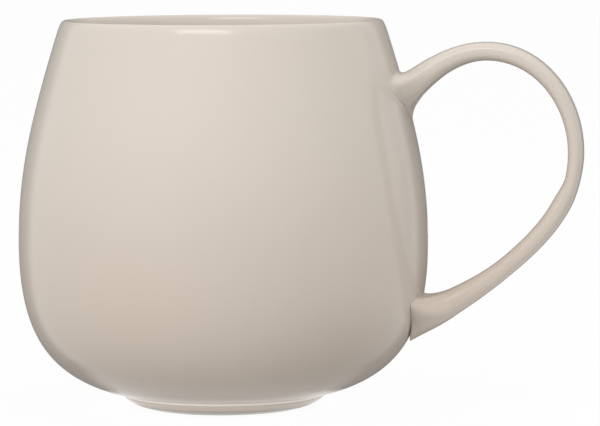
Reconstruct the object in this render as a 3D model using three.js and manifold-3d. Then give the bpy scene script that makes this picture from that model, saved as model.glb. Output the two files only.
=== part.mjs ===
// A round-bellied ceramic mug with an ear-shaped strap handle and a low tapered foot ring.
// The clay parts are separate solids, joined by thin seams of slip (liquid clay).
// Millimetres and degrees, +Z up. The mug stands on the plane z = 0 and the handle points along +X.
import * as THREE from 'three';
import { mergeVertices } from 'three/addons/utils/BufferGeometryUtils.js';
import Module from 'manifold-3d';

// Vessel, outside
const HEIGHT = 92.7;             // standing face to the crown of the lip
const MOUTH_DIAMETER = 75.3;     // across the crown of the lip
const BELLY_DIAMETER = 98;
const BELLY_HEIGHT = 39.5;       // height of the widest ring
const CREASE_DIAMETER = 48.7;    // edge of the flat underside, where the wall turns in to the foot
const NECK_LEAN = 17.2;          // inward lean of the wall just under the lip
const HEEL_SLOPE = 13.1;         // rise of the wall as it leaves the crease
const NECK_FULLNESS = 22.1;      // how far each end direction of the wall's curve carries
const SHOULDER_FULLNESS = 18.2;
const BELLY_FULLNESS = 23;
const HEEL_FULLNESS = 17.2;

// Vessel, inside
const LIP_THICKNESS = 2.4;
const WALL_THICKNESS = 3.2;      // at the belly
const FLOOR_THICKNESS = 3.8;
const FLOOR_EASE = 0.5;          // rise of the floor's rounded edge

// Foot ring
const FOOT_HEIGHT = 2.85;
const FOOT_DIAMETER = 36.4;      // outer edge of the standing face
const STANDING_WIDTH = 3;        // width of the standing face
const FOOT_BULGE = 0.43;         // how far the outer face swells past a straight cone
const FOOT_SETBACK = 0.35;       // step in from the crease to the ring's upper edge
const FOOT_BORE_DRAFT = 0.6;     // the bore widens this much from its top to the standing face
const FOOT_EDGE = 0.4;           // rounded edges of the standing face

// Handle: the middle line of the strap, and its section
const UPPER_ROOT_DROP = 17.5;    // lip crown down to where the middle line meets the wall
const UPPER_ROOT_HEADING = 44.5; // the strap leaves the wall this far above level
const ARCH_RUN = 19.65;          // wall at the upper root out to the top of the arch
const ARCH_RISE = 10.1;          // upper root up to the top of the arch
const HANDLE_REACH = 35.55;      // belly out to the outermost point of the middle line
const REACH_RISE = 40.1;         // lower root up to that point
const WAIST_DROP = 6;            // from there down to the thinnest place
const WAIST_INSET = 0.7;
const WAIST_HEADING = -102.6;
const ELBOW_DROP = 12.4;         // and down to the bend below it
const ELBOW_INSET = 3.45;
const ELBOW_HEADING = -118.7;
const ARM_RUN = 21.5;            // wall at the lower root out to where the lower arm starts to flare
const ARM_RISE = 13;
const ARM_HEADING = -140.2;
const LOWER_ROOT_HEIGHT = 21.3;
const LOWER_ROOT_HEADING = -154.6;
const ARCH_THICKNESS = 4.42;
const REACH_THICKNESS = 3.73;
const WAIST_THICKNESS = 3.58;
const ARM_THICKNESS = 4.51;
const STRAP_WIDTH = 8.6;
const UPPER_ROOT_THICKNESS = 6.9;
const UPPER_ROOT_WIDTH = 15;
const LOWER_ROOT_THICKNESS = 8.1;
const LOWER_ROOT_WIDTH = 14;
const FLARE_POWER = 1.5;         // how suddenly the strap flares towards a root
const SECTION_POWER = 2.1;       // 2 is an ellipse, more is boxier

// Slip seams
const FOOT_SLIP_THICKNESS = 0.4;
const FOOT_SLIP_INSET = 0.6;     // the seam stops this far inside the ring's upper face
const HANDLE_SLIP_THICKNESS = 0.6;
const HANDLE_SLIP_BEAD = 0.7;    // how far the seam is squeezed out past the strap's end
const SEAM_GAP = 0.3;            // clearance on each side of a seam on the curved wall

// Fineness of the facets
const TURN_STEPS = 64;
const LOWER_WALL_STEPS = 10;
const UPPER_WALL_STEPS = 10;
const LIP_STEPS = 6;
const EASE_STEPS = 3;
const BULGE_STEPS = 4;
const STRAP_STEPS = 8;
const SECTION_STEPS = 20;

const wasm = await Module();
wasm.setup();

const bellyRadius = BELLY_DIAMETER / 2;
const creaseRadius = CREASE_DIAMETER / 2;
const undersideHeight = FOOT_HEIGHT + FOOT_SLIP_THICKNESS;
const slipOuter = SEAM_GAP + HANDLE_SLIP_THICKNESS;
const handleStandoff = slipOuter + SEAM_GAP;

function heading(degrees) {
  const angle = THREE.MathUtils.degToRad(degrees);
  return new THREE.Vector2(Math.cos(angle), Math.sin(angle));
}

function leftOf(direction) {
  return new THREE.Vector2(-direction.y, direction.x);
}

// The wall's outside, from the crease up to the lip: two curves that meet upright at the belly.
// Points are (radius, height).
function wallCurves() {
  const lipCentre = new THREE.Vector2(MOUTH_DIAMETER / 2, HEIGHT - LIP_THICKNESS / 2);
  const lipEdge = heading(NECK_LEAN).multiplyScalar(LIP_THICKNESS / 2).add(lipCentre);
  const crease = new THREE.Vector2(creaseRadius, undersideHeight);
  const lower = new THREE.CubicBezierCurve(
    crease,
    heading(HEEL_SLOPE).multiplyScalar(HEEL_FULLNESS).add(crease),
    new THREE.Vector2(bellyRadius, BELLY_HEIGHT - BELLY_FULLNESS),
    new THREE.Vector2(bellyRadius, BELLY_HEIGHT),
  );
  const upper = new THREE.CubicBezierCurve(
    new THREE.Vector2(bellyRadius, BELLY_HEIGHT),
    new THREE.Vector2(bellyRadius, BELLY_HEIGHT + SHOULDER_FULLNESS),
    heading(NECK_LEAN - 90).multiplyScalar(NECK_FULLNESS).add(lipEdge),
    lipEdge,
  );
  return { lower, upper, lipCentre };
}

// The wall's outside moved out along its own normal by a distance for each curve and share of it.
function offsetWall(distance) {
  const { lower, upper } = wallCurves();
  const points = [];
  const walk = (curve, steps, first) => {
    for (let i = first; i <= steps; i += 1) {
      const share = i / steps;
      const outward = leftOf(curve.getTangent(share)).negate();
      points.push(outward.multiplyScalar(distance(curve === upper, share)).add(curve.getPoint(share)));
    }
  };
  walk(lower, LOWER_WALL_STEPS, 0);
  walk(upper, UPPER_WALL_STEPS, 1);
  return points;
}

// Radius of the wall's outside at a height.
function wallRadius(height) {
  const wall = offsetWall(() => 0);
  const above = wall.findIndex((point) => point.y >= height);
  const low = wall[above - 1];
  const high = wall[above];
  return THREE.MathUtils.mapLinear(height, low.y, high.y, low.x, high.x);
}

// Revolves a profile of (radius, height) points about the upright axis.
function turn(profile) {
  return new THREE.LatheGeometry(profile, TURN_STEPS).rotateX(Math.PI / 2);
}

function solidOf(geometry) {
  const bare = geometry.clone();
  bare.deleteAttribute('normal');
  bare.deleteAttribute('uv');
  const merged = mergeVertices(bare, 1e-4);
  const corners = merged.index.array;
  const triVerts = [];
  for (let i = 0; i < corners.length; i += 3) {
    const [a, b, c] = corners.slice(i, i + 3);
    if (a !== b && b !== c && c !== a) triVerts.push(a, b, c);
  }
  return new wasm.Manifold(new wasm.Mesh({
    numProp: 3,
    vertProperties: new Float32Array(merged.attributes.position.array),
    triVerts: new Uint32Array(triVerts),
  }));
}

function geometryOf(solid) {
  const mesh = solid.getMesh();
  const geometry = new THREE.BufferGeometry();
  geometry.setAttribute('position', new THREE.BufferAttribute(mesh.vertProperties, 3));
  geometry.setIndex(new THREE.BufferAttribute(mesh.triVerts, 1));
  geometry.computeVertexNormals();
  return geometry;
}

function vesselGeometry() {
  const { lipCentre } = wallCurves();
  const outside = offsetWall(() => 0);
  const lip = [];
  for (let i = 1; i < LIP_STEPS; i += 1) {
    const around = heading(NECK_LEAN + (180 * i) / LIP_STEPS);
    lip.push(around.multiplyScalar(LIP_THICKNESS / 2).add(lipCentre));
  }
  const heelThickness = (FLOOR_THICKNESS + FLOOR_EASE) / heading(HEEL_SLOPE).x;
  const inside = offsetWall((isUpper, share) => (isUpper
    ? -THREE.MathUtils.lerp(WALL_THICKNESS, LIP_THICKNESS, share)
    : -THREE.MathUtils.lerp(heelThickness, WALL_THICKNESS, Math.sqrt(share))));
  inside.reverse();
  const floorHeight = undersideHeight + FLOOR_THICKNESS;
  const edge = inside.at(-1);
  const easeLength = FLOOR_EASE / heading(HEEL_SLOPE).y;
  const corner = heading(HEEL_SLOPE).multiplyScalar(-easeLength).add(edge);
  const ease = new THREE.QuadraticBezierCurve(
    edge,
    corner,
    new THREE.Vector2(corner.x - easeLength, floorHeight),
  );
  return turn([
    new THREE.Vector2(0, undersideHeight),
    ...outside,
    ...lip,
    ...inside,
    ...ease.getPoints(EASE_STEPS).slice(1),
    new THREE.Vector2(0, floorHeight),
  ]);
}

function footRingGeometry() {
  const baseRadius = FOOT_DIAMETER / 2;
  const topRadius = creaseRadius - FOOT_SETBACK;
  const boreRadius = baseRadius - STANDING_WIDTH;
  const top = new THREE.Vector2(topRadius, FOOT_HEIGHT);
  const bottom = new THREE.Vector2(baseRadius + FOOT_EDGE, FOOT_EDGE);
  const across = top.clone().sub(bottom).normalize();
  const middle = top.clone().add(bottom).multiplyScalar(0.5);
  const swell = leftOf(across).multiplyScalar(-2 * FOOT_BULGE).add(middle);
  const outerFace = new THREE.QuadraticBezierCurve(bottom, swell, top);
  return turn([
    new THREE.Vector2(boreRadius, 0),
    new THREE.Vector2(baseRadius, 0),
    ...outerFace.getPoints(BULGE_STEPS),
    new THREE.Vector2(boreRadius - FOOT_EDGE - FOOT_BORE_DRAFT, FOOT_HEIGHT),
    new THREE.Vector2(boreRadius - FOOT_EDGE, FOOT_EDGE),
    new THREE.Vector2(boreRadius, 0),
  ]);
}

function footSlipGeometry() {
  const outerRadius = creaseRadius - FOOT_SETBACK - FOOT_SLIP_INSET;
  const innerRadius = FOOT_DIAMETER / 2 - STANDING_WIDTH - FOOT_EDGE - FOOT_BORE_DRAFT + FOOT_SLIP_INSET;
  return turn([
    new THREE.Vector2(innerRadius, FOOT_HEIGHT),
    new THREE.Vector2(outerRadius, FOOT_HEIGHT),
    new THREE.Vector2(outerRadius, undersideHeight),
    new THREE.Vector2(innerRadius, undersideHeight),
    new THREE.Vector2(innerRadius, FOOT_HEIGHT),
  ]);
}

// The places that shape the strap: where its middle line runs, which way, and how thick and wide it is.
function handleStations() {
  const station = (x, z, degrees, thickness, width) => (
    { place: new THREE.Vector2(x, z), degrees, thickness, width });
  const upperHeight = HEIGHT - UPPER_ROOT_DROP;
  const upperRadius = wallRadius(upperHeight);
  const lowerRadius = wallRadius(LOWER_ROOT_HEIGHT);
  const reachX = bellyRadius + HANDLE_REACH;
  const reachZ = LOWER_ROOT_HEIGHT + REACH_RISE;
  return [
    station(upperRadius, upperHeight, UPPER_ROOT_HEADING, UPPER_ROOT_THICKNESS, UPPER_ROOT_WIDTH),
    station(upperRadius + ARCH_RUN, upperHeight + ARCH_RISE, 0, ARCH_THICKNESS, STRAP_WIDTH),
    station(reachX, reachZ, -90, REACH_THICKNESS, STRAP_WIDTH),
    station(reachX - WAIST_INSET, reachZ - WAIST_DROP, WAIST_HEADING, WAIST_THICKNESS, STRAP_WIDTH),
    station(reachX - ELBOW_INSET, reachZ - ELBOW_DROP, ELBOW_HEADING, ARM_THICKNESS, STRAP_WIDTH),
    station(lowerRadius + ARM_RUN, LOWER_ROOT_HEIGHT + ARM_RISE, ARM_HEADING, ARM_THICKNESS, STRAP_WIDTH),
    station(lowerRadius, LOWER_ROOT_HEIGHT, LOWER_ROOT_HEADING, LOWER_ROOT_THICKNESS, LOWER_ROOT_WIDTH),
  ];
}

// A curve between two stations that keeps both headings and is close to an arc of a circle.
function strapCurve(from, to) {
  const turnAngle = THREE.MathUtils.degToRad(Math.abs(to.degrees - from.degrees));
  const chord = to.place.distanceTo(from.place);
  const carry = (chord * (2 / 3) * Math.tan(turnAngle / 4)) / Math.sin(turnAngle / 2);
  return new THREE.CubicBezierCurve(
    from.place,
    heading(from.degrees).multiplyScalar(carry).add(from.place),
    heading(to.degrees).multiplyScalar(-carry).add(to.place),
    to.place,
  );
}

// Sections along the strap from root to root. The root stretches flare, the others ease.
function strapSections() {
  const stations = handleStations();
  const last = stations.length - 2;
  const sections = [];
  for (let k = 0; k <= last; k += 1) {
    const from = stations[k];
    const to = stations[k + 1];
    const curve = strapCurve(from, to);
    for (let i = k === 0 ? 0 : 1; i <= STRAP_STEPS; i += 1) {
      const share = i / STRAP_STEPS;
      let blend = THREE.MathUtils.smoothstep(share, 0, 1);
      if (k === 0) blend = 1 - (1 - share) ** FLARE_POWER;
      if (k === last) blend = share ** FLARE_POWER;
      sections.push({
        place: curve.getPoint(share),
        along: curve.getTangent(share),
        thickness: THREE.MathUtils.lerp(from.thickness, to.thickness, blend),
        width: THREE.MathUtils.lerp(from.width, to.width, blend),
      });
    }
  }
  return sections;
}

// A root's end section carried straight into the wall, far enough to pass through it all over.
function buried(section, inward) {
  const depth = section.thickness + section.width / 2;
  return { ...section, place: section.along.clone().multiplyScalar(inward * depth).add(section.place) };
}

// A closed skin over sections that stand square to their middle line, each grown by a margin.
function skin(sections, margin) {
  const positions = [];
  const index = [];
  const round = (value) => Math.sign(value) * Math.abs(value) ** (2 / SECTION_POWER);
  for (const { place, along, thickness, width } of sections) {
    const outward = leftOf(along);
    for (let j = 0; j < SECTION_STEPS; j += 1) {
      const angle = (2 * Math.PI * j) / SECTION_STEPS;
      const rise = (thickness / 2 + margin) * round(Math.cos(angle));
      const side = (width / 2 + margin) * round(Math.sin(angle));
      positions.push(place.x + outward.x * rise, side, place.y + outward.y * rise);
    }
  }
  for (let i = 0; i + 1 < sections.length; i += 1) {
    for (let j = 0; j < SECTION_STEPS; j += 1) {
      const a = i * SECTION_STEPS + j;
      const b = i * SECTION_STEPS + ((j + 1) % SECTION_STEPS);
      index.push(a, a + SECTION_STEPS, b);
      index.push(b, a + SECTION_STEPS, b + SECTION_STEPS);
    }
  }
  const endRing = (sections.length - 1) * SECTION_STEPS;
  for (let j = 1; j + 1 < SECTION_STEPS; j += 1) {
    index.push(0, j, j + 1);
    index.push(endRing, endRing + j + 1, endRing + j);
  }
  const geometry = new THREE.BufferGeometry();
  geometry.setAttribute('position', new THREE.Float32BufferAttribute(positions, 3));
  geometry.setIndex(index);
  return geometry;
}

// Everything inside the wall's outside, grown outwards by a distance.
function wallBody(distance) {
  const wall = offsetWall(() => distance);
  const low = new THREE.Vector2(0, wall[0].y);
  const high = new THREE.Vector2(0, wall.at(-1).y);
  return solidOf(turn([low, ...wall, high]));
}

function handleGeometry() {
  const sections = strapSections();
  const whole = [buried(sections[0], -1), ...sections, buried(sections.at(-1), 1)];
  return geometryOf(solidOf(skin(whole, 0)).subtract(wallBody(handleStandoff)));
}

// A seam follows the wall under one end of the strap and is squeezed out a little all round it.
function handleSlipGeometry(section) {
  const stub = [buried(section, -1), buried(section, 1)];
  const whole = solidOf(skin(stub, HANDLE_SLIP_BEAD));
  return geometryOf(whole.intersect(wallBody(slipOuter)).subtract(wallBody(SEAM_GAP)));
}

function glazedClay(color) {
  return new THREE.MeshStandardMaterial({ color, roughness: 0.2, metalness: 0 });
}

function piece(name, geometry, material) {
  const mesh = new THREE.Mesh(geometry, material);
  mesh.name = name;
  return mesh;
}

const sections = strapSections();
const mug = new THREE.Group();
mug.add(piece('vessel', vesselGeometry(), glazedClay(0xd3c8ba)));
mug.add(piece('foot_ring', footRingGeometry(), glazedClay(0xcabfb1)));
mug.add(piece('foot_slip', footSlipGeometry(), glazedClay(0xcabfb1)));
mug.add(piece('handle', handleGeometry(), glazedClay(0xd3c8ba)));
mug.add(piece('upper_handle_slip', handleSlipGeometry(sections[0]), glazedClay(0xcdc2b4)));
mug.add(piece('lower_handle_slip', handleSlipGeometry(sections.at(-1)), glazedClay(0xcdc2b4)));

// The origin lies on the standing plane, under the middle of the mug's overall length.
const handleOutermost = bellyRadius + HANDLE_REACH + REACH_THICKNESS / 2;
mug.position.x = (bellyRadius - handleOutermost) / 2;

const part = new THREE.Group();
part.add(mug);

export default part;
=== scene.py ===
"""A round-bellied glazed mug: a cast vessel on a low foot ring, with an ear-shaped strap handle.

Shapes are worked out in millimetres about the vessel's own axis, with the handle along +X, and put
into metres in the shared frame once, when a mesh is made.
"""

import bpy
import numpy as np
from mathutils import Matrix, Vector


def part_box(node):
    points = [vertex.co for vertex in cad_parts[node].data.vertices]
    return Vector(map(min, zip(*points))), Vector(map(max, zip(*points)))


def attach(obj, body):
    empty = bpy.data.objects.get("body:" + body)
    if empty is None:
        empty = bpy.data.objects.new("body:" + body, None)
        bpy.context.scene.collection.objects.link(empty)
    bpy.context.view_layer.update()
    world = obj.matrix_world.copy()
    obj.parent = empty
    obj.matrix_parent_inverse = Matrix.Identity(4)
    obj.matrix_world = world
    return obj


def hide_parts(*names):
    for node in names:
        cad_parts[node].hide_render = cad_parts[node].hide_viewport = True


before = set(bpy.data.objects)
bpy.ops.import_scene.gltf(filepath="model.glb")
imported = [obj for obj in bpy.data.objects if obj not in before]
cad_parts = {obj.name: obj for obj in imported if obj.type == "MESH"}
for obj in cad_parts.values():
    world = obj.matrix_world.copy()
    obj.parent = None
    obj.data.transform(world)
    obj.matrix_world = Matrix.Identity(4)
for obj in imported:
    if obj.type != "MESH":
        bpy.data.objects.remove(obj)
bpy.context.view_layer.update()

BODY = "root"
METRES = 0.001                       # metres in one millimetre
vessel_low, vessel_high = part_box("vessel")
axis_x = (vessel_low.x + vessel_high.x) / 2

# Vessel, in millimetres and degrees
HEIGHT = 92.7
MOUTH_RADIUS = 37.65                 # at the crown of the lip
LIP_RADIUS = 1.2
BELLY_RADIUS = 49.0
BELLY_HEIGHT = 39.5
CREASE_RADIUS = 24.35
CREASE_HEIGHT = 3.25
NECK_LEAN = 17.2
HEEL_SLOPE = 13.1
NECK_FULLNESS = 22.1
SHOULDER_FULLNESS = 18.2
BELLY_FULLNESS = 23.0
HEEL_FULLNESS = 17.2
LIP_DEPTH = 2.6                      # the lip's rounding starts this far below its edge
LIP_PULL = 2.0                       # how far the lip's curve follows the wall, and the crown's level
CROWN_PULL = 0.8
WALL_THICKNESS = 3.2
WALL_SWELL = 1.0                     # extra thickness inside the neck, and how fast it comes and goes
SWELL_RISE = 4.0
SWELL_FALL = 25.0
HEEL_THICKNESS = 4.4
FLOOR_THICKNESS = 3.8
UNDERSIDE_DOME = 0.5                 # the glazed underside rises this much to its middle

# Foot ring and the fillet of slip above it
FOOT_HEIGHT = 2.95
STANDING_RADIUS = 17.8               # where the flat standing face ends and the rounded outer face starts
BORE_RADIUS = 15.2
BORE_EDGE = 0.45
FOOT_TOP_RADIUS = 24.35
FOOT_SPREAD = 2.0                    # how far the outer face keeps its direction at its bottom and its top
FOOT_SHOULDER = 1.8
SHOULDER_SLOPE = 58.0
BORE_DRAFT = 0.6
FILLET_RUN = 1.8                     # how far the fillet reaches out under the heel
FILLET_PULL = 1.2                    # how far it follows the heel, and how far the foot's upright edge
FILLET_DROP = 0.35
FILLET_PROUD = 0.03                  # it stands this much proud of the foot's edge
FILLET_DEPTH = 0.8                   # and this deep inside the joint

# Handle: root places on the wall, then the middle line and section of the strap
UPPER_ROOT_HEIGHT = 75.2
UPPER_ROOT_HEADING = 44.5
ARCH_RUN = 19.65
ARCH_RISE = 10.1
REACH = 84.55                        # outermost point of the middle line, from the axis
REACH_HEIGHT = 61.4
WAIST_DROP = 6.0
WAIST_INSET = 0.7
WAIST_HEADING = -102.6
ELBOW_DROP = 12.4
ELBOW_INSET = 3.45
ELBOW_HEADING = -118.7
ARM_RUN = 21.5
ARM_RISE = 13.0
ARM_HEADING = -140.2
LOWER_ROOT_HEIGHT = 21.3
LOWER_ROOT_HEADING = -154.6
ARCH_THICKNESS = 4.42
REACH_THICKNESS = 3.73
WAIST_THICKNESS = 3.58
ARM_THICKNESS = 4.51
STRAP_WIDTH = 8.6
UPPER_ROOT_THICKNESS = 6.9
UPPER_ROOT_WIDTH = 15.0
LOWER_ROOT_THICKNESS = 8.1
LOWER_ROOT_WIDTH = 14.0
FLARE_POWER = 1.5
SECTION_POWER = 2.6

# Fineness of the grids
TURN_STEPS = 240
SECTION_STEPS = 96
STRAP_STEPS = 48
SKIRT_STEPS = 40
ROLL_STEPS = 10
LOOKUP_STEPS = 400
WALL_STEPS = 72
UNDERSIDE_STEPS = 24
LIP_STEPS = 20
EASE_STEPS = 12
FLOOR_STEPS = 16
FACE_STEPS = 32
BORE_EDGE_STEPS = 9
STANDING_STEPS = 8
FILLET_STEPS = 24
CAP_RADIUS = 0.4                     # a flat cap closes a turned profile this close to the axis


def direction(degrees):
    """Unit vector in the (radius, height) plane at an angle above level."""
    angle = np.radians(degrees)
    return np.array([np.cos(angle), np.sin(angle)])


def bezier(points, share):
    """Cubic Bezier curve and its derivative: four points weighted by Bernstein polynomials of the share."""
    p = np.asarray(points, float)
    t = np.asarray(share, float)[:, None]
    s = 1 - t
    place = s ** 3 * p[0] + 3 * s ** 2 * t * p[1] + 3 * s * t ** 2 * p[2] + t ** 3 * p[3]
    slope = 3 * s ** 2 * (p[1] - p[0]) + 6 * s * t * (p[2] - p[1]) + 3 * t ** 2 * (p[3] - p[2])
    return place, slope


def unit(vectors):
    """Vectors divided by their lengths."""
    return vectors / np.linalg.norm(vectors, axis=-1, keepdims=True)


def left_of(vectors):
    """Plane vectors turned a quarter turn to the left."""
    return np.stack([-vectors[..., 1], vectors[..., 0]], -1)


LIP_CENTRE = np.array([MOUTH_RADIUS, HEIGHT - LIP_RADIUS])


def wall_curves(steps):
    """The wall's outside as two cubic curves, crease to belly and belly to lip, with their slopes."""
    lip_edge = LIP_CENTRE + LIP_RADIUS * direction(NECK_LEAN)
    crease = np.array([CREASE_RADIUS, CREASE_HEIGHT])
    belly = np.array([BELLY_RADIUS, BELLY_HEIGHT])
    up = np.array([0.0, 1.0])
    share = np.linspace(0, 1, steps)
    lower = bezier(
        [crease, crease + HEEL_FULLNESS * direction(HEEL_SLOPE), belly - BELLY_FULLNESS * up, belly], share)
    upper = bezier([
        belly, belly + SHOULDER_FULLNESS * up,
        lip_edge + NECK_FULLNESS * direction(NECK_LEAN - 90), lip_edge], share)
    return share, lower, upper


def wall_at(heights):
    """Radius of the wall's outside, and its upward unit tangent, at given heights."""
    _, (lower, lower_slope), (upper, upper_slope) = wall_curves(LOOKUP_STEPS)
    line = np.concatenate([lower[:-1], upper])
    slope = unit(np.concatenate([lower_slope[:-1], upper_slope]))
    radius = np.interp(heights, line[:, 1], line[:, 0])
    tangent = np.stack([np.interp(heights, line[:, 1], slope[:, k]) for k in (0, 1)], -1)
    return radius, unit(tangent)


def wall_point(lateral, height, lift):
    """Points beside the handle's plane on the wall: arc length to the side, height, and lift off the wall.

    Returns the points and, at each, the unit vectors sideways, up the wall and out of the wall.
    """
    radius, tangent = wall_at(height)
    turn = lateral / radius
    out = np.stack([np.cos(turn), -np.sin(turn), np.zeros_like(turn)], -1)
    side = np.stack([-np.sin(turn), -np.cos(turn), np.zeros_like(turn)], -1)
    level = np.array([0.0, 0.0, 1.0])
    up_wall = out * tangent[:, :1] + level * tangent[:, 1:]
    normal = out * tangent[:, 1:] - level * tangent[:, :1]
    place = out * radius[:, None] + level * height[:, None] + normal * lift[:, None]
    return place, side, up_wall, normal


def put_mesh(name, points, quads, fans=()):
    """A smooth object from points in millimetres; each fan closes a ring of points with a flat cap."""
    caps = []
    for ring, reverse in fans:
        points = np.concatenate([points, points[ring].mean(0, keepdims=True)])
        around = np.roll(ring, -1)
        middle = np.full(len(ring), len(points) - 1)
        corners = (middle, around, ring) if reverse else (middle, ring, around)
        caps.append(np.stack(corners, -1))
    faces = quads.tolist()
    for cap in caps:
        faces += cap.tolist()
    metres = points * METRES + np.array([axis_x, 0.0, 0.0])
    mesh = bpy.data.meshes.new(name)
    mesh.from_pydata(metres.tolist(), [], faces)
    smooth = np.arange(len(faces)) < len(quads)
    mesh.polygons.foreach_set("use_smooth", smooth)
    mesh.update()
    piece = bpy.data.objects.new(name, mesh)
    bpy.context.scene.collection.objects.link(piece)
    return piece


def grid_quads(rows, columns, close_rows=False):
    """Quads of a grid numbered row by row, whose columns, and rows if asked, close on themselves."""
    row, column = np.meshgrid(np.arange(rows if close_rows else rows - 1), np.arange(columns), indexing="ij")
    next_row = (row + 1) % rows
    next_column = (column + 1) % columns
    corners = [row * columns + column, row * columns + next_column,
               next_row * columns + next_column, next_row * columns + column]
    return np.stack(corners, -1).reshape(-1, 4)


def turned(name, profile, closed):
    """A profile of (radius, height) turned about the axis: x = r cos a, y = r sin a, z = h.

    A closed profile makes a ring. An open one starts and ends near the axis and gets a cap at each end.
    """
    angle = np.linspace(0, 2 * np.pi, TURN_STEPS, endpoint=False)
    radius, height = profile[:, 0], profile[:, 1]
    points = np.stack([
        np.outer(radius, np.cos(angle)), np.outer(radius, np.sin(angle)),
        np.repeat(height[:, None], TURN_STEPS, 1)], -1).reshape(-1, 3)
    quads = grid_quads(len(profile), TURN_STEPS, closed)
    first = np.arange(TURN_STEPS)
    last = first + (len(profile) - 1) * TURN_STEPS
    fans = () if closed else ((first, True), (last, False))
    return put_mesh(name, points, quads, fans)


def vessel_profile():
    """Underside, outer wall, rounded lip, inner wall offset by the wall's thickness, and the floor.

    The wall is thin at the lip, swells inside the neck and eases to its even thickness: two exponentials of
    the distance below the lip.
    """
    share, (lower, lower_slope), (upper, upper_slope) = wall_curves(WALL_STEPS)
    under_radius = np.linspace(CAP_RADIUS, CREASE_RADIUS, UNDERSIDE_STEPS, endpoint=False)
    dome = UNDERSIDE_DOME * np.cos(np.clip(under_radius / BORE_RADIUS, 0, 1) * np.pi / 2) ** 2
    underside = np.stack([under_radius, CREASE_HEIGHT + dome], -1)
    steps = np.linalg.norm(np.diff(upper, axis=0), axis=1)
    below = steps.sum() - np.concatenate([[0], np.cumsum(steps)])
    lip_gain = 2 * LIP_RADIUS - WALL_THICKNESS - WALL_SWELL
    upper_wall = WALL_THICKNESS + lip_gain * np.exp(-below / SWELL_RISE)
    upper_wall += WALL_SWELL * np.exp(-below / SWELL_FALL)
    lower_wall = HEEL_THICKNESS + (WALL_THICKNESS - HEEL_THICKNESS) * np.sqrt(share)
    inner_upper = upper + left_of(unit(upper_slope)) * upper_wall[:, None]
    inner_lower = lower + left_of(unit(lower_slope)) * lower_wall[:, None]
    wall = below > LIP_DEPTH
    outside = np.concatenate([lower, upper[wall][1:]])
    inside = np.concatenate([inner_lower[:-1], inner_upper[wall]])[::-1]
    crown = np.array([MOUTH_RADIUS, HEIGHT])
    level = np.array([CROWN_PULL, 0.0])
    outer_lip, _ = bezier([
        outside[-1], outside[-1] + LIP_PULL * unit(outside[-1] - outside[-2]), crown + level, crown],
        np.linspace(0, 1, LIP_STEPS)[1:])
    inner_lip, _ = bezier([
        crown, crown - level, inside[0] + LIP_PULL * unit(inside[0] - inside[1]), inside[0]],
        np.linspace(0, 1, LIP_STEPS)[1:-1])
    floor_height = CREASE_HEIGHT + FLOOR_THICKNESS
    edge = inside[-1]
    ease = (edge[1] - floor_height) / np.tan(np.radians(HEEL_SLOPE))
    ease_share = np.linspace(0, 1, EASE_STEPS)[1:]
    floor_edge, _ = bezier([
        edge, edge - [ease * 2 / 3, (edge[1] - floor_height) * 2 / 3],
        [edge[0] - ease * 4 / 3, floor_height], [edge[0] - 2 * ease, floor_height]], ease_share)
    floor_radius = np.linspace(floor_edge[-1, 0], CAP_RADIUS, FLOOR_STEPS)[1:]
    floor = np.stack([floor_radius, np.full_like(floor_radius, floor_height)], -1)
    return np.concatenate([underside, outside, outer_lip, inner_lip, inside, floor_edge, floor])


def foot_profile():
    """Flat standing face, an outer face that curves up from it, a hidden top, and a slightly tapered bore."""
    top = np.array([FOOT_TOP_RADIUS, FOOT_HEIGHT])
    bottom = np.array([STANDING_RADIUS, 0.0])
    outer_face, _ = bezier([
        bottom, bottom + FOOT_SPREAD * direction(0), top - FOOT_SHOULDER * direction(SHOULDER_SLOPE), top],
        np.linspace(0, 1, FACE_STEPS))
    bore_top = np.array([[BORE_RADIUS - BORE_DRAFT, FOOT_HEIGHT]])
    corner = np.radians(np.linspace(180, 270, BORE_EDGE_STEPS))
    quarter = np.stack([np.cos(corner), np.sin(corner)], -1)
    bore_edge = np.array([BORE_RADIUS, 0.0]) + BORE_EDGE * (1 + quarter)
    standing_radius = np.linspace(bore_edge[-1, 0], STANDING_RADIUS, STANDING_STEPS)[1:-1]
    standing = np.stack([standing_radius, np.zeros_like(standing_radius)], -1)
    return np.concatenate([standing, outer_face, bore_top, bore_edge])


def fillet_profile():
    """A hollow fillet from the heel round to the foot's upright edge, closed inside the joint."""
    crease = np.array([CREASE_RADIUS, CREASE_HEIGHT])
    heel = direction(HEEL_SLOPE)
    begin = crease + FILLET_RUN * heel
    end = np.array([FOOT_TOP_RADIUS + FILLET_PROUD, FOOT_HEIGHT])
    face, _ = bezier(
        [begin, begin - FILLET_PULL * heel, end + [0, FILLET_DROP], end], np.linspace(0, 1, FILLET_STEPS))
    inner = FOOT_TOP_RADIUS - FILLET_DEPTH
    inside = np.array([
        [inner, FOOT_HEIGHT - FILLET_DEPTH / 4],
        [inner, CREASE_HEIGHT + FILLET_DEPTH],
        begin + [0, FILLET_DEPTH / 4]])
    return np.concatenate([face, inside])[::-1]


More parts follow.
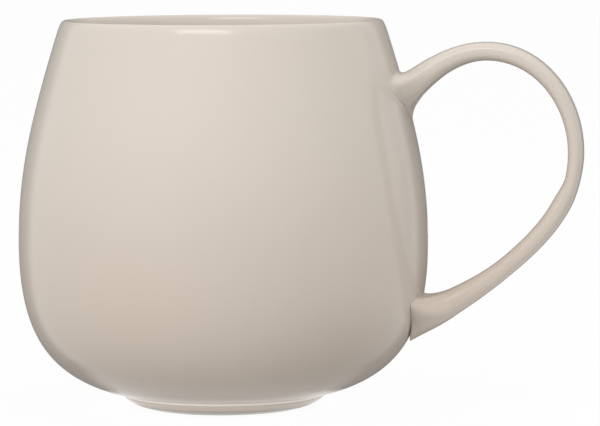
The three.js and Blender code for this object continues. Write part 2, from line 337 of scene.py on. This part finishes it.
def strap_stations():
    """Place, heading, thickness and width where the strap's middle line changes character."""
    upper_radius, lower_radius = wall_at(np.array([UPPER_ROOT_HEIGHT, LOWER_ROOT_HEIGHT]))[0]
    return [
        ((upper_radius, UPPER_ROOT_HEIGHT), UPPER_ROOT_HEADING, UPPER_ROOT_THICKNESS, UPPER_ROOT_WIDTH),
        ((upper_radius + ARCH_RUN, UPPER_ROOT_HEIGHT + ARCH_RISE), 0.0, ARCH_THICKNESS, STRAP_WIDTH),
        ((REACH, REACH_HEIGHT), -90.0, REACH_THICKNESS, STRAP_WIDTH),
        ((REACH - WAIST_INSET, REACH_HEIGHT - WAIST_DROP), WAIST_HEADING, WAIST_THICKNESS, STRAP_WIDTH),
        ((REACH - ELBOW_INSET, REACH_HEIGHT - ELBOW_DROP), ELBOW_HEADING, ARM_THICKNESS, STRAP_WIDTH),
        ((lower_radius + ARM_RUN, LOWER_ROOT_HEIGHT + ARM_RISE), ARM_HEADING, ARM_THICKNESS, STRAP_WIDTH),
        ((lower_radius, LOWER_ROOT_HEIGHT), LOWER_ROOT_HEADING, LOWER_ROOT_THICKNESS, LOWER_ROOT_WIDTH),
    ]


def strap_lines():
    """The middle line from wall to wall, its unit tangents, and the strap's thickness and width along it.

    Each stretch between stations is a cubic curve close to an arc of a circle that keeps both headings.
    Thickness and width ease from station to station, and flare by a power towards each root.
    """
    stations = strap_stations()
    last = len(stations) - 2
    share = np.linspace(0, 1, STRAP_STEPS + 1)
    parts = []
    for k, (begin, end) in enumerate(zip(stations[:-1], stations[1:])):
        start, finish = np.array(begin[0]), np.array(end[0])
        turn = np.radians(abs(end[1] - begin[1]))
        carry = np.linalg.norm(finish - start) * (2 / 3) * np.tan(turn / 4) / np.sin(turn / 2)
        place, slope = bezier([
            start, start + carry * direction(begin[1]), finish - carry * direction(end[1]), finish], share)
        blend = share ** 2 * (3 - 2 * share)
        if k == 0:
            blend = 1 - (1 - share) ** FLARE_POWER
        if k == last:
            blend = share ** FLARE_POWER
        size = np.outer(1 - blend, begin[2:]) + np.outer(blend, end[2:])
        rows = np.concatenate([place, unit(slope), size], 1)
        parts.append(rows if k == 0 else rows[1:])
    return np.concatenate(parts)


def section_rings(rows):
    """Superellipse sections square to the middle line: point 0 outside the loop, a quarter on the -Y side."""
    angle = np.linspace(0, 2 * np.pi, SECTION_STEPS, endpoint=False)
    rise = np.sign(np.cos(angle)) * np.abs(np.cos(angle)) ** (2 / SECTION_POWER)
    side = -np.sign(np.sin(angle)) * np.abs(np.sin(angle)) ** (2 / SECTION_POWER)
    outward = left_of(rows[:, 2:4])
    plane = rows[:, None, 0:2] + outward[:, None, :] * (rows[:, None, 4:5] / 2 * rise[None, :, None])
    across = rows[:, None, 5] / 2 * side[None, :]
    return np.stack([plane[..., 0], across, plane[..., 1]], -1)


STRAP = strap_lines()
UPPER_START = 22                     # the strap's own piece runs between these rows of its middle line
LOWER_END = len(STRAP) - 20
TUCK_ROWS = 5                        # rows that a piece runs on under its neighbour
TUCK_SHRINK = 0.25

# Roots: footprints on the wall, by their half width, the level of their widest place, and reach up and down
UPPER_FOOTPRINT = dict(half_width=12.4, middle=77.4, rise=4.2, drop=9.4, powers=(1.5, 1.1), lean=5.0)
LOWER_FOOTPRINT = dict(half_width=11.2, middle=25.8, rise=1.8, drop=8.0, powers=(2.2, 1.2), lean=0.0)
CORNER_PASSES = 10                   # smoothing of a footprint's corners
EDGE_LIFT = 0.45                     # rolled edge of the lower root, off the wall
EDGE_REACH = 0.25
CHIN_LIFT = 0.30                     # the edge stands out and hangs down as much more at its lowest point
CHIN_REACH = 1.7
CHIN_WIDTH = 0.6                     # radians round the lowest point
ROLL_START = 1.1                     # the edge turns from soft to rolled here, in radians from the top
ROLL_SPAN = 0.9
SUNK = 0.03                          # the edge of a soft root lies this far under the wall's face
UNDER_DEPTH = 0.1                    # the rolled edge ends this far under the wall's face
UNDER_TUCK = 0.2                     # and this far inside its outline

# Pulls of the roots' curves, most of them as shares of the gap between the strap and the wall
NOTCH_WIDTH = 0.7                    # radians round the upper root's top
BELLY_WIDTH = 0.8                    # radians round its bottom
FOLD_DEPTH = 0.8                     # the fold below each side: its strength, place, width and steepness
FOLD_ANGLE = 2.4
FOLD_WIDTH = 0.6
FOLD_STEEPNESS = 0.7
UPPER_RIM_PULL = 0.38                # from the strap, and what the notch and the belly add
NOTCH_RIM_GAIN = 0.22
BELLY_RIM_GAIN = 0.27
UPPER_WALL_PULL = 0.58               # from the wall, and what the notch and the belly take off
NOTCH_WALL_LOSS = 0.2
BELLY_WALL_LOSS = 0.3
LOWER_RIM_PULL = 0.4
SOFT_EDGE_PULL = 0.25
ROLLED_EDGE_PULL = 0.25
ROLLED_EDGE_TOE = 0.15               # the rolled edge leans in by this share
CHIN_PULL = 0.33
ROLL_PULL = 0.6                      # a share of the edge's lift
TUCK_PULL = 0.3                      # in millimetres


def tucked_rings(first, last):
    """Sections from one row of the strap to another, and a few more that shrink under the neighbours."""
    index = np.arange(first - TUCK_ROWS, last + TUCK_ROWS + 1)
    beyond = np.maximum(first - index, index - last).clip(0) / TUCK_ROWS
    rows = STRAP[index].copy()
    rows[:, 4:6] *= (1 - TUCK_SHRINK * beyond ** 2)[:, None]
    return section_rings(rows)


def closed_tube(name, rings):
    """A tube over rings of points, capped at both ends."""
    rows, columns = rings.shape[:2]
    first = np.arange(columns)
    last = first + (rows - 1) * columns
    return put_mesh(name, rings.reshape(-1, 3), grid_quads(rows, columns), ((first, True), (last, False)))


def skirt(start, start_pull, end, end_pull, steps):
    """Rings between two rings of points: for each point a cubic curve, with the pull of each end given."""
    t = np.linspace(0, 1, steps)[:, None, None]
    s = 1 - t
    return (s ** 3 * start + 3 * s ** 2 * t * (start + start_pull)
            + 3 * s * t ** 2 * (end + end_pull) + t ** 3 * end)


def rounded(values):
    """Values round a ring, each averaged with its neighbours a few times."""
    for _ in range(CORNER_PASSES):
        values = (np.roll(values, 1) + 2 * values + np.roll(values, -1)) / 4
    return values


def footprint(sign, half_width, middle, rise, drop, powers, lean):
    """An outline on the wall: a superellipse in arc length to the side and height, with rounded corners.

    The part above the middle and the part below it have their own reach and power, and the lowest point can
    lean to the far side. Returns the points, the wall's normals there, the directions along the wall away
    from the middle, and the angle from the top.
    """
    angle = np.linspace(0, 2 * np.pi, SECTION_STEPS, endpoint=False)
    up, across = sign * np.cos(angle), np.sin(angle)
    power = np.where(up > 0, powers[0], powers[1])
    radius = (np.abs(up) ** power + np.abs(across) ** power) ** (-1 / power)
    height = middle + rounded(np.where(up > 0, rise, drop) * up * radius)
    lateral = rounded(half_width * across * radius - lean * np.clip(-up * radius, 0, 1))
    place, side, up_wall, normal = wall_point(lateral, height, np.zeros(SECTION_STEPS))
    away = unit(side * lateral[:, None] + up_wall * (height - middle)[:, None])
    return place, normal, away, np.arccos(np.clip(up, -1, 1))[:, None]


def hump(angle, middle, width):
    """A smooth rise to 1 and back round an angle."""
    return np.exp(-((angle - middle) / width) ** 2)


def upper_root_rings():
    """The upper root: the strap flares out over the wall in a fillet, with a steeper fold below each side."""
    rings = tucked_rings(UPPER_START, UPPER_START)
    rim, before = rings[TUCK_ROWS], rings[TUCK_ROWS + 1]
    place, normal, away, angle = footprint(1, **UPPER_FOOTPRINT)
    gap = np.linalg.norm(place - rim, axis=1, keepdims=True)
    notch = hump(angle, 0, NOTCH_WIDTH)
    belly = hump(angle, np.pi, BELLY_WIDTH)
    fold = FOLD_DEPTH * hump(angle, FOLD_ANGLE, FOLD_WIDTH)
    rim_share = UPPER_RIM_PULL + NOTCH_RIM_GAIN * notch + BELLY_RIM_GAIN * belly
    rim_pull = unit(rim - before) * gap * rim_share
    wall_share = UPPER_WALL_PULL - NOTCH_WALL_LOSS * notch - BELLY_WALL_LOSS * belly
    wall_pull = (normal * fold * FOLD_STEEPNESS - away * (1 - fold)) * gap * wall_share
    flare = skirt(place - normal * SUNK, wall_pull, rim, rim_pull, SKIRT_STEPS)
    return np.concatenate([flare, rings[TUCK_ROWS + 1:]])


def lower_root_rings():
    """The lower root: a straight-cut end with a rolled edge, pressed on the wall, that stands proud below.

    Beside the top the edge is smoothed into the wall instead.
    """
    rings = tucked_rings(LOWER_END, LOWER_END)
    rim, before = rings[TUCK_ROWS], rings[TUCK_ROWS - 1]
    place, normal, away, angle = footprint(-1, **LOWER_FOOTPRINT)
    chin = hump(angle, np.pi, CHIN_WIDTH)
    rolled = np.clip((angle - ROLL_START) / ROLL_SPAN, 0, 1)
    rolled = rolled ** 2 * (3 - 2 * rolled)
    lift = EDGE_LIFT * rolled + CHIN_LIFT * chin
    edge = place + normal * lift + away * (EDGE_REACH * rolled + CHIN_REACH * chin)
    gap = np.linalg.norm(edge - rim, axis=1, keepdims=True)
    proud = (normal - away * ROLLED_EDGE_TOE) * ROLLED_EDGE_PULL * (1 - chin)
    proud += unit(rim - edge) * CHIN_PULL * chin
    edge_pull = (proud * rolled - away * SOFT_EDGE_PULL * (1 - rolled)) * gap
    flare = skirt(rim, unit(rim - before) * gap * LOWER_RIM_PULL, edge, edge_pull, SKIRT_STEPS)
    under = place - normal * UNDER_DEPTH - away * UNDER_TUCK
    roll = skirt(edge, -unit(edge_pull) * lift * ROLL_PULL, under, away * TUCK_PULL, ROLL_STEPS)
    return np.concatenate([rings[:TUCK_ROWS], flare, roll[1:]])


def add(tree, kind, sockets=None, **settings):
    """A shader node with its settings; each named socket gets a value or a link from another socket."""
    made = tree.nodes.new(kind)
    for key, value in settings.items():
        setattr(made, key, value)
    for key, value in (sockets or {}).items():
        if isinstance(value, bpy.types.NodeSocket):
            tree.links.new(value, made.inputs[key])
        else:
            made.inputs[key].default_value = value
    return made


def new_group(name, inputs, outputs):
    """An empty shader node group with named inputs and outputs."""
    tree = bpy.data.node_groups.new(name, "ShaderNodeTree")
    for label, kind, value in inputs:
        tree.interface.new_socket(label, in_out="INPUT", socket_type=kind).default_value = value
    for label, kind in outputs:
        tree.interface.new_socket(label, in_out="OUTPUT", socket_type=kind)
    return tree, tree.nodes.new("NodeGroupInput"), tree.nodes.new("NodeGroupOutput")


COLOUR = "NodeSocketColor"
NUMBER = "NodeSocketFloat"

# Finishes: colours, then levels in metres and noise scales in turns per metre
# Pale tone above and deep tone below: the darkening towards the bottom is painted shade, and the faint clouds
# between the two are the glaze's own
PALE_GLAZE = (0.640, 0.572, 0.500, 1.0)
DEEP_GLAZE = (0.600, 0.515, 0.435, 1.0)
FILLET_HIGHLIGHT_GLAZE = (0.86, 0.80, 0.73, 1.0)    # painted highlight: a pale glaze on the foot's fillet for the bright line along the crease
BARE_CLAY = (0.60, 0.53, 0.45, 1.0)
DARK_CLAY = (0.52, 0.45, 0.37, 1.0)
GLOSS = 0.12                         # roughness of the glaze, and what its waves add
WAVE_SMEAR = 0.06
GLAZE_IOR = 1.5
CLOUDS = 0.30                        # strength of the clouds, on the foot ring less
FOOT_CLOUDS = 0.25
CLOUD_SCALE = 42.0
PAINTED_SHADE_TOP = 0.080                      # painted shade: the glaze turns darker and warmer from this level down to the next
PAINTED_SHADE_BOTTOM = 0.006
WAVE_SCALE = 70.0
PEEL_SCALE = 420.0
PEEL_SHARE = 0.08                    # height of the peel, as a share of the waves
SKIN_STRENGTH = 0.25
SKIN_DEPTH = 0.00012
WIPE_LEVEL = 0.00042                 # below this level the glaze is wiped off, over a ragged edge
WIPE_FADE = 0.0001
RAGGED_SCALE = 300.0
RAGGED_HEIGHT = 0.0003
GRAIN_SCALE = 1500.0
BARE_ROUGHNESS = 0.7


def mix_colours(tree, share, first, second):
    """A colour between two, by a share."""
    made = tree.nodes.new("ShaderNodeMix")
    made.data_type = "RGBA"
    for index, value in ((0, share), (6, first), (7, second)):
        if isinstance(value, bpy.types.NodeSocket):
            tree.links.new(value, made.inputs[index])
        else:
            made.inputs[index].default_value = value
    return made.outputs[2]


def glaze_tone_group():
    """Glaze colour: paler above, and darker and warmer below as painted shade of the lower body, with faint
    clouds.
    """
    tree, given, out = new_group(
        "glaze_tone",
        [("Pale", COLOUR, (1, 1, 1, 1)), ("Deep", COLOUR, (1, 1, 1, 1)), ("Cloud", NUMBER, 0.2)],
        [("Color", COLOUR)])
    place = add(tree, "ShaderNodeTexCoord").outputs["Object"]
    height = add(tree, "ShaderNodeSeparateXYZ", {"Vector": place}).outputs["Z"]
    painted_shade = add(tree, "ShaderNodeMapRange",
              {"Value": height, "From Min": PAINTED_SHADE_TOP, "From Max": PAINTED_SHADE_BOTTOM}, interpolation_type="SMOOTHSTEP")
    clouds = add(tree, "ShaderNodeTexNoise",
                 {"Vector": place, "Scale": CLOUD_SCALE, "Detail": 3.0, "Roughness": 0.5})
    centred = add(tree, "ShaderNodeMath", {0: clouds.outputs["Fac"], 1: 0.5}, operation="SUBTRACT")
    drift = add(tree, "ShaderNodeMath",
                {0: centred.outputs[0], 1: given.outputs["Cloud"], 2: painted_shade.outputs["Result"]},
                operation="MULTIPLY_ADD", use_clamp=True)
    tone = mix_colours(tree, drift.outputs[0], given.outputs["Pale"], given.outputs["Deep"])
    tree.links.new(tone, out.inputs["Color"])
    return tree


def glaze_skin_group():
    """Height of the fired skin, slow waves and a fine orange peel, and the roughness that goes with it."""
    tree, given, out = new_group(
        "glaze_skin",
        [("Gloss", NUMBER, 0.15)],
        [("Height", NUMBER), ("Roughness", NUMBER)])
    place = add(tree, "ShaderNodeTexCoord").outputs["Object"]
    waves = add(tree, "ShaderNodeTexNoise", {"Vector": place, "Scale": WAVE_SCALE, "Detail": 1.0})
    peel = add(tree, "ShaderNodeTexNoise", {"Vector": place, "Scale": PEEL_SCALE, "Detail": 2.0})
    height = add(tree, "ShaderNodeMath",
                 {0: peel.outputs["Fac"], 1: PEEL_SHARE, 2: waves.outputs["Fac"]}, operation="MULTIPLY_ADD")
    smear = add(tree, "ShaderNodeMath",
                {0: waves.outputs["Fac"], 1: WAVE_SMEAR, 2: given.outputs["Gloss"]}, operation="MULTIPLY_ADD")
    tree.links.new(height.outputs[0], out.inputs["Height"])
    tree.links.new(smear.outputs[0], out.inputs["Roughness"])
    return tree


GLAZE_TONE = glaze_tone_group()
GLAZE_SKIN = glaze_skin_group()


def glaze(name, cloud, pale_tone=PALE_GLAZE, full=DEEP_GLAZE):
    """Glossy stoneware glaze; returns the material and its nodes, so that a piece can add to them."""
    material = bpy.data.materials.new(name)
    material.use_nodes = True
    tree = material.node_tree
    shader = tree.nodes["Principled BSDF"]
    tone = add(tree, "ShaderNodeGroup", node_tree=GLAZE_TONE)
    tone.inputs["Pale"].default_value = pale_tone
    tone.inputs["Deep"].default_value = full
    tone.inputs["Cloud"].default_value = cloud
    skin = add(tree, "ShaderNodeGroup", node_tree=GLAZE_SKIN)
    skin.inputs["Gloss"].default_value = GLOSS
    bump = add(tree, "ShaderNodeBump",
               {"Strength": SKIN_STRENGTH, "Distance": SKIN_DEPTH, "Height": skin.outputs["Height"]})
    tree.links.new(tone.outputs["Color"], shader.inputs["Base Color"])
    tree.links.new(skin.outputs["Roughness"], shader.inputs["Roughness"])
    tree.links.new(bump.outputs["Normal"], shader.inputs["Normal"])
    shader.inputs["IOR"].default_value = GLAZE_IOR
    return material, tree, shader, tone, skin


def foot_glaze():
    """The same glaze on the foot ring, wiped off its standing face, where the bare clay is matt."""
    material, tree, shader, tone, skin = glaze("foot_glaze", FOOT_CLOUDS)
    place = add(tree, "ShaderNodeTexCoord").outputs["Object"]
    height = add(tree, "ShaderNodeSeparateXYZ", {"Vector": place}).outputs["Z"]
    ragged = add(tree, "ShaderNodeTexNoise", {"Vector": place, "Scale": RAGGED_SCALE, "Detail": 2.0})
    level = add(tree, "ShaderNodeMath",
                {0: ragged.outputs["Fac"], 1: RAGGED_HEIGHT, 2: height}, operation="MULTIPLY_ADD")
    bare = add(tree, "ShaderNodeMapRange",
               {"Value": level.outputs[0], "From Min": WIPE_LEVEL,
                "From Max": WIPE_LEVEL - WIPE_FADE}).outputs["Result"]
    grain = add(tree, "ShaderNodeTexNoise", {"Vector": place, "Scale": GRAIN_SCALE, "Detail": 4.0})
    clay = mix_colours(tree, grain.outputs["Fac"], DARK_CLAY, BARE_CLAY)
    colour = mix_colours(tree, bare, tone.outputs["Color"], clay)
    rough = add(tree, "ShaderNodeMath",
                {0: bare, 1: BARE_ROUGHNESS, 2: skin.outputs["Roughness"]}, operation="MULTIPLY_ADD")
    tree.links.new(colour, shader.inputs["Base Color"])
    tree.links.new(rough.outputs[0], shader.inputs["Roughness"])
    return material


def dress(piece, node, material):
    """Gives a piece its material, hides the solid it replaces and hangs the piece on the body."""
    piece.data.materials.append(material)
    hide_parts(node)
    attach(piece, BODY)


vessel_glaze = glaze("vessel_glaze", CLOUDS)[0]
handle_glaze = glaze("handle_glaze", CLOUDS)[0]
slip_glaze = glaze("slip_glaze", CLOUDS)[0]
# The foot's fillet is glazed pale all over, as a painted highlight of the bright line at the crease
fillet_highlight_glaze = glaze("fillet_highlight_glaze", CLOUDS, FILLET_HIGHLIGHT_GLAZE, FILLET_HIGHLIGHT_GLAZE)[0]

dress(turned("vessel_fine", vessel_profile(), False), "vessel", vessel_glaze)
dress(turned("foot_ring_fine", foot_profile(), True), "foot_ring", foot_glaze())
dress(turned("foot_fillet", fillet_profile(), True), "foot_slip", fillet_highlight_glaze)
strap = tucked_rings(UPPER_START, LOWER_END)
dress(closed_tube("handle_strap", strap), "handle", handle_glaze)
dress(closed_tube("upper_root", upper_root_rings()), "upper_handle_slip", slip_glaze)
dress(closed_tube("lower_root", lower_root_rings()), "lower_handle_slip", slip_glaze)


# Studio: camera, floor, lamps, and grey cards that only reflections or matt surfaces see
CAMERA_TURN = 10.0                   # degrees round the mug from square on, towards the handle
CAMERA_DISTANCE = 0.925
CAMERA_HEIGHT = 0.123
CAMERA_LENS = 232.4
CAMERA_ROLL = 0.24
SENSOR_WIDTH = 36.0
AIM_HEIGHT = 0.046
AIM_SIDE = 0.01835
AIM_UP = 0.00028


def bearing(degrees):
    """Level unit vector from the mug, measured round from the camera's side, positive to its right."""
    angle = np.radians(CAMERA_TURN + degrees)
    return Vector((np.sin(angle), -np.cos(angle), 0.0))


def aim(place, target, roll):
    """Matrix of a camera or lamp at a place, looking at a target, rolled clockwise by an angle in degrees."""
    back = (place - target).normalized()
    right = Vector((0, 0, 1)).cross(back).normalized()
    up = back.cross(right)
    turn = np.radians(roll)
    rolled_right = right * np.cos(turn) - up * np.sin(turn)
    rolled_up = up * np.cos(turn) + right * np.sin(turn)
    matrix = Matrix((rolled_right, rolled_up, back)).transposed().to_4x4()
    matrix.translation = place
    return matrix


axis = Vector((axis_x, 0.0, 0.0))


def make_camera():
    """The camera, aimed beside and just above the middle of the mug."""
    data = bpy.data.cameras.new("camera")
    data.sensor_width = SENSOR_WIDTH
    data.lens = CAMERA_LENS
    camera = bpy.data.objects.new("camera", data)
    bpy.context.scene.collection.objects.link(camera)
    place = axis + bearing(0) * CAMERA_DISTANCE + Vector((0, 0, CAMERA_HEIGHT))
    middle = axis + Vector((0, 0, AIM_HEIGHT))
    back = (place - middle).normalized()
    right = Vector((0, 0, 1)).cross(back).normalized()
    target = middle + right * AIM_SIDE + back.cross(right) * AIM_UP
    camera.matrix_world = aim(place, target, CAMERA_ROLL)
    bpy.context.scene.camera = camera


def softbox(name, side, rise, width, height, watts, mirrored=False):
    """A rectangular lamp at a bearing and an elevation in degrees, facing the mug.

    A mirrored lamp is one that only shows as a reflection. The others light the mug and don't show in it.
    """
    data = bpy.data.lights.new(name, "AREA")
    data.shape = "RECTANGLE"
    data.size = width
    data.size_y = height
    data.energy = watts
    lamp = bpy.data.objects.new(name, data)
    bpy.context.scene.collection.objects.link(lamp)
    lamp.visible_camera = False
    lamp.visible_glossy = mirrored
    lamp.visible_diffuse = not mirrored
    target = axis + Vector((0, 0, AIM_HEIGHT))
    lift = np.radians(rise)
    place = target + (bearing(side) * np.cos(lift) + Vector((0, 0, 1)) * np.sin(lift)) * LAMP_DISTANCE
    lamp.matrix_world = aim(place, target, 0)


def level_by_ray(tree, plain, shown):
    """One value for rays that show the white background, from the camera, off gloss and through glass.

    The other value is for the rest, which only carry light.
    """
    path = add(tree, "ShaderNodeLightPath")
    either = add(tree, "ShaderNodeMath",
                 {0: path.outputs["Is Camera Ray"], 1: path.outputs["Is Glossy Ray"]}, operation="MAXIMUM")
    every = add(tree, "ShaderNodeMath",
                {0: either.outputs[0], 1: path.outputs["Is Transmission Ray"]}, operation="MAXIMUM")
    level = add(tree, "ShaderNodeMapRange", {"Value": every.outputs[0], "To Min": plain, "To Max": shown})
    return level.outputs["Result"]


ROOM_LIGHT = 0.75                    # the room as matt surfaces see it, and as it shows
ROOM_SHOWN = 1.0
FLOOR_HALF = 6.0
FLOOR_DROP = 0.00005                 # the floor is just under the standing face
FLOOR_WHITE = 0.8
FLOOR_LIGHT = 0.31                   # the floor is lit from below: its strength and share, first as matt
FLOOR_LIGHT_SHARE = 0.7              # surfaces see it and then as it shows
FLOOR_SHOWN = 1.0
FLOOR_SHOWN_SHARE = 0.96
KEY_WATTS = 3.2
LOW_WATTS = 4.0
RIGHT_WATTS = 2.4
GLINT_WATTS = 1.6
LAMP_DISTANCE = 1.1
PANEL = 0.8                          # width and height of the panels, and of the glint
GLINT_WIDTH = 0.62
GLINT_HEIGHT = 0.20


def make_world():
    """A white room all round."""
    world = bpy.data.worlds.new("studio")
    bpy.context.scene.world = world
    world.use_nodes = True
    tree = world.node_tree
    background = tree.nodes["Background"]
    background.inputs["Color"].default_value = (1, 1, 1, 1)
    tree.links.new(level_by_ray(tree, ROOM_LIGHT, ROOM_SHOWN), background.inputs["Strength"])


def make_floor():
    """A white floor that is clear from below."""
    corners = [(-FLOOR_HALF, -FLOOR_HALF, -FLOOR_DROP), (FLOOR_HALF, -FLOOR_HALF, -FLOOR_DROP),
               (FLOOR_HALF, FLOOR_HALF, -FLOOR_DROP), (-FLOOR_HALF, FLOOR_HALF, -FLOOR_DROP)]
    mesh = bpy.data.meshes.new("floor")
    mesh.from_pydata(corners, [], [(0, 1, 2, 3)])
    floor = bpy.data.objects.new("floor", mesh)
    bpy.context.scene.collection.objects.link(floor)
    material = bpy.data.materials.new("floor_white")
    material.use_nodes = True
    tree = material.node_tree
    tree.nodes.remove(tree.nodes["Principled BSDF"])
    matt = add(tree, "ShaderNodeBsdfDiffuse", {"Color": (FLOOR_WHITE, FLOOR_WHITE, FLOOR_WHITE, 1)})
    white = add(tree, "ShaderNodeEmission",
                {"Color": (1, 1, 1, 1), "Strength": level_by_ray(tree, FLOOR_LIGHT, FLOOR_SHOWN)})
    blend = add(tree, "ShaderNodeMixShader",
                {0: level_by_ray(tree, FLOOR_LIGHT_SHARE, FLOOR_SHOWN_SHARE),
                 1: matt.outputs["BSDF"], 2: white.outputs["Emission"]})
    side = add(tree, "ShaderNodeNewGeometry")
    clear = add(tree, "ShaderNodeBsdfTransparent")
    sided = add(tree, "ShaderNodeMixShader",
                {0: side.outputs["Backfacing"], 1: blend.outputs["Shader"], 2: clear.outputs["BSDF"]})
    tree.links.new(sided.outputs["Shader"], tree.nodes["Material Output"].inputs["Surface"])
    mesh.materials.append(material)


# Outlines of the cards: distance and height in metres, and how far the card covers what is behind it
STANDING = ((0.010, 0, 0), (0.022, 0, 1), (0.60, 0, 1), (0.68, 0.02, 1), (0.70, 0.30, 1), (0.72, 0.60, 0))
LYING = ((0.028, 0, 1), (0.045, 0, 1), (0.120, 0, 0))
POOL = ((0.021, 0, 0), (0.025, 0, 1), (0.029, 0, 1), (0.040, 0, 0))
CONTACT = ((0.015, 0, 1), (0.0205, 0, 1), (0.0232, 0, 0))
FRONT = ((0.0215, 0, 0), (0.0235, 0, 1), (0.027, 0, 1), (0.033, 0, 0))
BOUNCE = ((0.0205, 0, 0), (0.0225, 0, 1), (0.026, 0, 1), (0.030, 0, 0))
UNDER = ((0.056, 0, 0), (0.066, 0, 1), (0.105, 0, 1), (0.120, 0, 0))
CARD_LAYER = 0.0002
CARD_STEPS = 49
FLAG_SIDE = 0.031                    # the flags fan out from points beside the axis and in front of it
FLAG_DEPTH = -0.027


def card(name, start, end, soft, side, depth, outline, layer, level, mirrored=True, matt=False):
    """A grey card that reflections see, or matt surfaces, or both.

    It is a fan between two bearings, which fades in and out over a soft angle, round a point to the right
    of the mug's axis and behind it. Cards that lie on the floor are stacked in layers.
    """
    share = np.linspace(0, 1, CARD_STEPS)
    turn = np.radians(CAMERA_TURN + start + (end - start) * share)
    distance, height, cover = np.array(outline).T
    edge = np.ones_like(share)
    if soft:
        edge = np.clip(np.minimum(share, 1 - share) * abs(end - start) / soft, 0, 1)
    middle = axis + bearing(90) * side + bearing(180) * depth
    points = np.stack([
        np.outer(distance, np.sin(turn)) + middle.x, np.outer(distance, -np.cos(turn)) + middle.y,
        np.repeat(height[:, None] + layer * CARD_LAYER, len(turn), 1)], -1)
    rows, columns = points.shape[:2]
    first = (np.arange(rows - 1)[:, None] * columns + np.arange(columns - 1)).ravel()
    quads = np.stack([first, first + 1, first + columns + 1, first + columns], -1)
    mesh = bpy.data.meshes.new(name)
    mesh.from_pydata(points.reshape(-1, 3).tolist(), [], quads.tolist())
    mesh.attributes.new("cover", "FLOAT", "POINT").data.foreach_set("value", np.outer(cover, edge).ravel())
    piece = bpy.data.objects.new(name, mesh)
    bpy.context.scene.collection.objects.link(piece)
    piece.visible_camera = False
    piece.visible_glossy = mirrored
    piece.visible_diffuse = matt
    piece.visible_shadow = False
    piece.visible_transmission = False
    material = bpy.data.materials.new(name)
    material.use_nodes = True
    tree = material.node_tree
    tree.nodes.remove(tree.nodes["Principled BSDF"])
    glow = add(tree, "ShaderNodeEmission", {"Color": (1, 1, 1, 1), "Strength": level})
    clear = add(tree, "ShaderNodeBsdfTransparent")
    covered = add(tree, "ShaderNodeAttribute", attribute_name="cover")
    blend = add(tree, "ShaderNodeMixShader",
                {0: covered.outputs["Fac"], 1: clear.outputs["BSDF"], 2: glow.outputs["Emission"]})
    tree.links.new(blend.outputs["Shader"], tree.nodes["Material Output"].inputs["Surface"])
    mesh.materials.append(material)


make_camera()
make_world()
make_floor()
softbox("key", -15, 32, PANEL, PANEL, KEY_WATTS)
softbox("low_panel", -45, 8, PANEL, PANEL, LOW_WATTS)
softbox("right_panel", 80, 58, PANEL, PANEL, RIGHT_WATTS)
softbox("glint", -15, 45, GLINT_WIDTH, GLINT_HEIGHT, GLINT_WATTS, mirrored=True)

# Cards: bearings of the two sides, soft angle, point of the fan, outline, layer on the floor, brightness
card("left_flag", -134, -200, 9, -FLAG_SIDE, FLAG_DEPTH, STANDING, 3, 0.25)
card("right_flag", 134, 200, 9, FLAG_SIDE, FLAG_DEPTH, STANDING, 3, 0.18)
card("right_half_flag", 111, 135, 12, 0, 0, STANDING, 2, 0.65)
card("shade", 10, 150, 45, 0, 0, LYING, 1, 0.55, matt=True)
card("pool", -180, 180, 0, 0, 0, POOL, 4, 0.85, mirrored=False, matt=True)
# A dark ring round the foot that reflections and matt surfaces see: a stand-in for the contact shadow
card("contact_shadow", -180, 180, 0, 0, 0, CONTACT, 5, 0.25, matt=True)
card("front_shade", -75, 75, 45, 0, 0, FRONT, 4, 0.55)
card("handle_bounce", 60, 100, 12, 0, 0, UNDER, 2, 1.2, mirrored=False, matt=True)
card("left_bounce", -125, -60, 20, 0, 0, BOUNCE, 6, 1.0)
card("right_bounce", 60, 125, 20, 0, 0, BOUNCE, 6, 1.0)

bpy.context.scene.view_settings.view_transform = "Standard"
